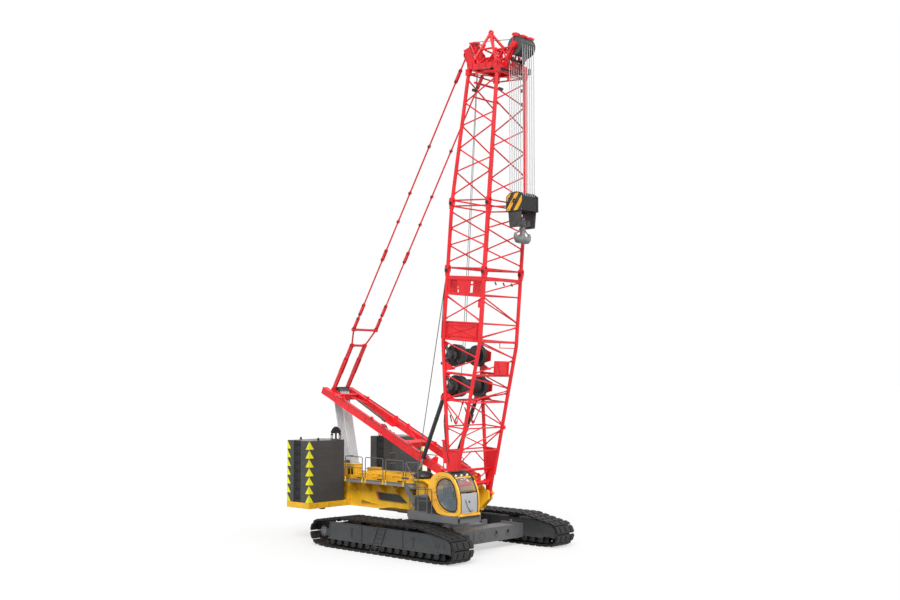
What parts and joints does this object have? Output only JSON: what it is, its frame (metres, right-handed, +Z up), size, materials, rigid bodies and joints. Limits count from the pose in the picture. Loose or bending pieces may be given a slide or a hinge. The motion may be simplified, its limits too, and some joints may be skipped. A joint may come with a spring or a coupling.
{
  "type": "crawler crane",
  "caption": "Crawler crane with a lattice boom held by a mast and pendants, a slewing superstructure with cab and rear counterweights, and a hook block on rope falls.",
  "frame": {"origin": "on the ground, 1.03 m behind the slewing axis and midway across the width; the middle of the overall length is within 0.06 m of it", "axes": "+X forward along the tracks, +Y to the crane's left, +Z up"},
  "size_m": [12.8866, 8.03, 23.5041],
  "materials": {
    "yellow_paint": "semi-gloss",
    "red_paint": "semi-gloss",
    "grey_paint": "satin",
    "track_steel": "matte",
    "black_steel": "satin",
    "chrome": "polished",
    "window_glass": "clear",
    "seat_plastic": "matte"
  },
  "bodies": {
    "undercarriage": {"carbody": "grey_paint", "track_frame_left": "grey_paint", "track_frame_right": "grey_paint", "track_loop_left": "track_steel", "track_loop_right": "track_steel", "drive_sprocket_left": "track_steel", "drive_sprocket_right": "track_steel", "track_idler_left": "track_steel", "track_idler_right": "track_steel", "slew_ring_lower": "track_steel"},
    "superstructure": {"slew_ring_upper": "track_steel", "turntable_frame": "yellow_paint", "machinery_hood": "yellow_paint", "engine_block": "black_steel", "luffing_sheave_bracket": "yellow_paint", "luffing_winch_frame": "grey_paint", "counterweight_tray": "yellow_paint", "counterweight_stack_left": "grey_paint", "counterweight_stack_right": "grey_paint", "walkway_left": "grey_paint", "walkway_right": "grey_paint", "cab_platform": "grey_paint", "cab_shell": "yellow_paint", "cab_windscreen": "window_glass", "cab_inner_side_glass": "window_glass", "cab_seat": "seat_plastic", "cab_display_stand": "seat_plastic"},
    "door": {"cab_door": "yellow_paint", "cab_door_glass": "window_glass"},
    "boom": {"boom_foot_section": "red_paint", "boom_insert_section": "red_paint", "boom_top_section": "red_paint", "boom_head": "red_paint"},
    "mast": {"mast_frame": "red_paint"},
    "pendant_set": {"pendants": "red_paint"},
    "stop_barrel_left": {"backstop_barrel_left": "black_steel"},
    "stop_barrel_right": {"backstop_barrel_right": "black_steel"},
    "stop_rod_left": {"backstop_rod_left": "chrome"},
    "stop_rod_right": {"backstop_rod_right": "chrome"},
    "hoist_line": {"hoist_limit_weight": "black_steel"},
    "block": {"hook_block": "black_steel"},
    "hook": {"ramshorn_hook": "black_steel"},
    "block_rotor": {"block_sheaves": "black_steel"},
    "head_rotor": {"head_sheaves": "black_steel"},
    "rear_rotor": {"rear_guide_sheave": "black_steel"},
    "mast_rotor": {"mast_sheaves": "black_steel"},
    "luff_rotor": {"luffing_sheaves": "black_steel"},
    "luff_winch_rotor": {"luffing_winch_drum": "black_steel"},
    "hoist_rotor_upper": {"hoist_drum_upper": "black_steel"},
    "hoist_rotor_lower": {"hoist_drum_lower": "black_steel"}
  },
  "joints": [
    {"name": "slew", "type": "hinge", "parent": "undercarriage", "child": "superstructure", "pos_m": [1.03, 0, 1.4], "axis": [0, 0, 1], "continuous": true},
    {"name": "boom_luff", "type": "hinge", "parent": "superstructure", "child": "boom", "pos_m": [2.83, 0, 2.42], "axis": [0, -1, 0], "range_deg": [-55, 3]},
    {"name": "mast_luff", "type": "hinge", "parent": "superstructure", "child": "mast", "pos_m": [2.48, 0, 3.19], "axis": [0, -1, 0], "range_deg": [-59.68, 3.26]},
    {"name": "pendant_pin", "type": "hinge", "parent": "boom", "child": "pendant_set", "pos_m": [3.34, 0, 22.3614], "axis": [0, -1, 0], "range_deg": [-0.8095, 0.0451]},
    {"name": "backstop_left_pin", "type": "hinge", "parent": "boom", "child": "stop_barrel_left", "pos_m": [2.23, 1.12, 6.8], "axis": [0, -1, 0], "range_deg": [-0.55, 10.01]},
    {"name": "backstop_left_stroke", "type": "slide", "parent": "stop_barrel_left", "child": "stop_rod_left", "axis": [-0.4213, 0, -0.9069], "range_m": [-0.1153, 2.0966]},
    {"name": "backstop_right_pin", "type": "hinge", "parent": "boom", "child": "stop_barrel_right", "pos_m": [2.23, -1.12, 6.8], "axis": [0, -1, 0], "range_deg": [-0.55, 10.01]},
    {"name": "backstop_right_stroke", "type": "slide", "parent": "stop_barrel_right", "child": "stop_rod_right", "axis": [-0.4213, 0, -0.9069], "range_m": [-0.1153, 2.0966]},
    {"name": "hoist_line_swing", "type": "hinge", "parent": "boom", "child": "hoist_line", "pos_m": [5.9484, 0, 22.344], "axis": [0, -1, 0], "range_deg": [-3, 55]},
    {"name": "hook_travel", "type": "slide", "parent": "hoist_line", "child": "block", "axis": [0, 0, -1], "range_m": [-5, 13.1]},
    {"name": "hook_swivel", "type": "hinge", "parent": "block", "child": "hook", "pos_m": [5.9484, 0, 14.38], "axis": [0, 0, 1], "continuous": true},
    {"name": "block_sheave_spin", "type": "hinge", "parent": "block", "child": "block_rotor", "pos_m": [5.9484, 0, 15.4], "axis": [0, 1, 0], "continuous": true},
    {"name": "head_sheave_spin", "type": "hinge", "parent": "boom", "child": "head_rotor", "pos_m": [5.9484, 0, 22.344], "axis": [0, 1, 0], "continuous": true},
    {"name": "rear_sheave_spin", "type": "hinge", "parent": "boom", "child": "rear_rotor", "pos_m": [3.1137, 0, 22.8731], "axis": [0, 1, 0], "continuous": true},
    {"name": "mast_sheave_spin", "type": "hinge", "parent": "mast", "child": "mast_rotor", "pos_m": [-6.0814, 0, 6.9482], "axis": [0, 1, 0], "continuous": true},
    {"name": "luff_sheave_spin", "type": "hinge", "parent": "superstructure", "child": "luff_rotor", "pos_m": [-5.25, 0, 3.33], "axis": [0, 1, 0], "continuous": true},
    {"name": "luff_winch_spin", "type": "hinge", "parent": "superstructure", "child": "luff_winch_rotor", "pos_m": [-4.72, 0, 2.46], "axis": [0, 1, 0], "continuous": true},
    {"name": "hoist_drum_upper_spin", "type": "hinge", "parent": "boom", "child": "hoist_rotor_upper", "pos_m": [2.6176, 0, 8.7125], "axis": [0, 1, 0], "continuous": true},
    {"name": "hoist_drum_lower_spin", "type": "hinge", "parent": "boom", "child": "hoist_rotor_lower", "pos_m": [2.6966, 0, 7.3203], "axis": [0, 1, 0], "continuous": true},
    {"name": "cab_door_swing", "type": "hinge", "parent": "superstructure", "child": "door", "pos_m": [3.54, -3.022, 2.7], "axis": [0, 0, -1], "range_deg": [0, 100]}
  ],
  "couplings": [
    {"joint": "mast_luff", "follows": "boom_luff", "ratio": 1.085},
    {"joint": "pendant_pin", "follows": "boom_luff", "ratio": 0.0147},
    {"joint": "hoist_line_swing", "follows": "boom_luff", "ratio": -1},
    {"joint": "backstop_left_pin", "follows": "boom_luff", "ratio": -0.1819},
    {"joint": "backstop_left_stroke", "follows": "boom_luff", "m_per_rad": -2.1831},
    {"joint": "backstop_right_pin", "follows": "boom_luff", "ratio": -0.1819},
    {"joint": "backstop_right_stroke", "follows": "boom_luff", "m_per_rad": -2.1831}
  ]
}
